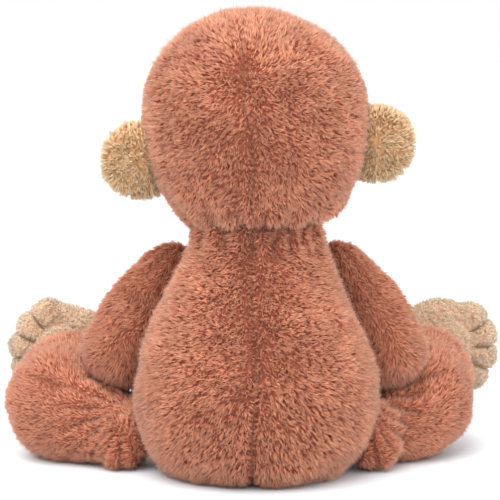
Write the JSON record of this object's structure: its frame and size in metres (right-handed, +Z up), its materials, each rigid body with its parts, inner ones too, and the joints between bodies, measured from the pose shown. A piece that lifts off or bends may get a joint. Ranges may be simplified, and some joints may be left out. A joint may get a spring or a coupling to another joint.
{
  "type": "stuffed monkey",
  "caption": "seated plush monkey with long pile, round head, puffed ears, bent arms and wide-set legs; head, ears, arms, hands, legs and feet move at their seams",
  "frame": {"origin": "middle of the flat seat, on the surface that the monkey sits on", "axes": "+Z up, the monkey looks along -Y, its left side is +X"},
  "size_m": [0.3444, 0.225, 0.3025],
  "materials": {
    "plush_terracotta": "long soft pile",
    "plush_tan": "long soft pile",
    "fibre_filling": "loose polyester fibre",
    "pouch_cloth": "plain woven lining",
    "beans": "plastic pellets",
    "eye_plastic": "polished black",
    "washer_plastic": "moulded",
    "thread": "dark embroidery thread"
  },
  "bodies": {
    "torso": {"torso_back_left_panel": "plush_terracotta", "torso_back_right_panel": "plush_terracotta", "torso_belly_left_panel": "plush_terracotta", "torso_belly_right_panel": "plush_terracotta", "seat_panel": "plush_terracotta", "torso_filling": "fibre_filling", "bean_pouch": "pouch_cloth", "bean_filling": "beans"},
    "neck": {"neck_filling": "fibre_filling"},
    "head": {"head_back_left_panel": "plush_terracotta", "head_back_right_panel": "plush_terracotta", "head_side_left_panel": "plush_terracotta", "head_side_right_panel": "plush_terracotta", "forehead_panel": "plush_terracotta", "face_panel": "plush_tan", "muzzle_panel": "plush_tan", "muzzle_filling": "fibre_filling", "head_filling": "fibre_filling", "left_eye": "eye_plastic", "right_eye": "eye_plastic", "left_eye_washer": "washer_plastic", "right_eye_washer": "washer_plastic", "nose": "thread", "mouth_stitching": "thread"},
    "left_ear": {"left_ear_front_panel": "plush_tan", "left_ear_back_panel": "plush_tan", "left_ear_filling": "fibre_filling"},
    "left_arm": {"left_arm_outer_panel": "plush_terracotta", "left_arm_inner_panel": "plush_terracotta", "left_arm_filling": "fibre_filling"},
    "left_hand": {"left_hand_back_panel": "plush_tan", "left_hand_palm_panel": "plush_tan", "left_hand_filling": "fibre_filling", "left_hand_stitches": "thread"},
    "left_leg": {"left_leg_upper_panel": "plush_terracotta", "left_leg_lower_panel": "plush_terracotta", "left_leg_filling": "fibre_filling"},
    "left_foot": {"left_foot_instep_panel": "plush_tan", "left_foot_sole_panel": "plush_tan", "left_foot_filling": "fibre_filling", "left_foot_stitches": "thread"},
    "right_ear": {"right_ear_front_panel": "plush_tan", "right_ear_back_panel": "plush_tan", "right_ear_filling": "fibre_filling"},
    "right_arm": {"right_arm_outer_panel": "plush_terracotta", "right_arm_inner_panel": "plush_terracotta", "right_arm_filling": "fibre_filling"},
    "right_hand": {"right_hand_back_panel": "plush_tan", "right_hand_palm_panel": "plush_tan", "right_hand_filling": "fibre_filling", "right_hand_stitches": "thread"},
    "right_leg": {"right_leg_upper_panel": "plush_terracotta", "right_leg_lower_panel": "plush_terracotta", "right_leg_filling": "fibre_filling"},
    "right_foot": {"right_foot_instep_panel": "plush_tan", "right_foot_sole_panel": "plush_tan", "right_foot_filling": "fibre_filling", "right_foot_stitches": "thread"}
  },
  "joints": [
    {"name": "neck_nod", "type": "hinge", "parent": "torso", "child": "neck", "pos_m": [0, 0, 0.158], "axis": [1, 0, 0], "range_deg": [-15, 18]},
    {"name": "head_turn", "type": "hinge", "parent": "neck", "child": "head", "pos_m": [0, 0, 0.158], "axis": [0, 0, 1], "range_deg": [-30, 30]},
    {"name": "left_ear_flop", "type": "hinge", "parent": "head", "child": "left_ear", "pos_m": [0.072, 0, 0.20592], "axis": [0.0698, 0, 0.9976], "range_deg": [-12, 12], "stiffness_Nm_per_rad": 0.02},
    {"name": "left_shoulder_swing", "type": "hinge", "parent": "torso", "child": "left_arm", "pos_m": [0.057, -0.04, 0.132], "axis": [-1, 0, 0], "range_deg": [0, 80]},
    {"name": "left_wrist_bend", "type": "hinge", "parent": "left_arm", "child": "left_hand", "pos_m": [0.072, -0.092, 0.09], "axis": [-1, 0, 0], "range_deg": [-8, 30]},
    {"name": "left_hip_swing", "type": "hinge", "parent": "torso", "child": "left_leg", "pos_m": [0.084, -0.026, 0.016], "axis": [-0.8681, 0.351, -0.351], "range_deg": [0, 28]},
    {"name": "left_ankle_bend", "type": "hinge", "parent": "left_leg", "child": "left_foot", "pos_m": [0.128, -0.092, 0.046], "axis": [-0.1392, 0, 0.9903], "range_deg": [-15, 12]},
    {"name": "right_ear_flop", "type": "hinge", "parent": "head", "child": "right_ear", "pos_m": [-0.07465, 0, 0.21617], "axis": [0.0698, 0, 0.9976], "range_deg": [-12, 12], "stiffness_Nm_per_rad": 0.02},
    {"name": "right_shoulder_swing", "type": "hinge", "parent": "torso", "child": "right_arm", "pos_m": [-0.057, -0.04, 0.132], "axis": [-1, 0, 0], "range_deg": [0, 80]},
    {"name": "right_wrist_bend", "type": "hinge", "parent": "right_arm", "child": "right_hand", "pos_m": [-0.072, -0.092, 0.09], "axis": [-1, 0, 0], "range_deg": [-8, 30]},
    {"name": "right_hip_swing", "type": "hinge", "parent": "torso", "child": "right_leg", "pos_m": [-0.08, -0.034, 0.016], "axis": [-0.7359, -0.5467, 0.3995], "range_deg": [0, 28]},
    {"name": "right_ankle_bend", "type": "hinge", "parent": "right_leg", "child": "right_foot", "pos_m": [-0.119, -0.104, 0.047], "axis": [-0.1392, 0, -0.9903], "range_deg": [-15, 12]}
  ]
}
